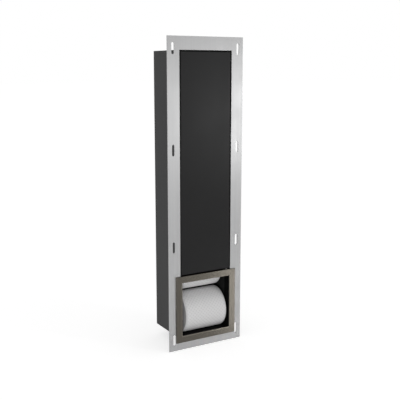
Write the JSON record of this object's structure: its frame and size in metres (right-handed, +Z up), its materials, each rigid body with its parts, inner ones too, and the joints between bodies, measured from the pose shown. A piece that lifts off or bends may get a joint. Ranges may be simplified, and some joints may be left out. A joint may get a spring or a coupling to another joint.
{
  "type": "recessed toilet paper holder",
  "caption": "Tall recessed cassette for toilet rolls with slotted wall flange, push-open door, sliding trim frame round the roll opening and stacked spare rolls.",
  "frame": {"origin": "centre of the mounting flange's back face, in the plane of the wall", "axes": "+X to the right seen from the room, +Y into the wall, +Z up; the front faces -Y"},
  "size_m": [0.18, 0.1197, 0.664],
  "materials": {
    "flange_steel": "satin",
    "black_box": "matte",
    "door_coat": "matte",
    "bronze_trim": "satin",
    "zinc_steel": "satin",
    "dark_steel": "satin",
    "galvanised": "satin",
    "spring_steel": "satin",
    "magnet_nickel": "polished",
    "white_nylon": "satin",
    "grey_plastic": "satin",
    "rubber_black": "matte",
    "roll_paper": "matte",
    "roll_card": "matte"
  },
  "bodies": {
    "cassette": {"mounting_flange": "flange_steel", "box_wrapper": "black_box", "box_top_plate": "black_box", "box_bottom_plate": "black_box", "cross_rail": "black_box", "top_pivot_pin": "dark_steel", "bottom_pivot_pin": "dark_steel", "thrust_washer": "grey_plastic", "latch_bracket": "black_box", "latch_housing": "grey_plastic", "latch_screw": "zinc_steel", "door_stops": "black_box", "door_stop_buffers": "rubber_black"},
    "door": {"door_panel": "door_coat", "door_stiffener_left": "galvanised", "door_stiffener_right": "galvanised", "top_pivot_block": "white_nylon", "bottom_pivot_block": "white_nylon", "strike_plate": "zinc_steel"},
    "trim": {"trim_frame": "bronze_trim", "trim_spigot": "black_box", "trim_grip_springs": "spring_steel"},
    "plunger": {"latch_plunger": "grey_plastic", "latch_magnet": "magnet_nickel", "latch_spring": "spring_steel"},
    "roll_in_use": {"roll_in_use_paper": "roll_paper", "roll_in_use_core": "roll_card"},
    "spare_roll_1": {"spare_roll_1_paper": "roll_paper", "spare_roll_1_core": "roll_card"},
    "spare_roll_2": {"spare_roll_2_paper": "roll_paper", "spare_roll_2_core": "roll_card"}
  },
  "joints": [
    {"name": "door_swing", "type": "hinge", "parent": "cassette", "child": "door", "pos_m": [0.0545, 0.002, 0], "axis": [0, 0, 1], "range_deg": [0, 105]},
    {"name": "trim_depth", "type": "slide", "parent": "cassette", "child": "trim", "axis": [0, -1, 0], "range_m": [0, 0.012]},
    {"name": "latch_push", "type": "slide", "parent": "cassette", "child": "plunger", "axis": [0, 1, 0], "range_m": [0, 0.003], "stiffness_N_per_m": 400, "springref_m": -0.002, "deforming": ["latch_spring"]},
    {"name": "roll_in_use_spin", "type": "hinge", "parent": "cassette", "child": "roll_in_use", "pos_m": [0.0016, 0.042, -0.2612], "axis": [1, 0, 0], "continuous": true},
    {"name": "spare_roll_1_spin", "type": "hinge", "parent": "cassette", "child": "spare_roll_1", "pos_m": [-0.0008, 0.058, -0.16806], "axis": [1, 0, 0], "continuous": true},
    {"name": "spare_roll_2_spin", "type": "hinge", "parent": "cassette", "child": "spare_roll_2", "pos_m": [-0.0008, 0.058, -0.07676], "axis": [1, 0, 0], "continuous": true}
  ]
}
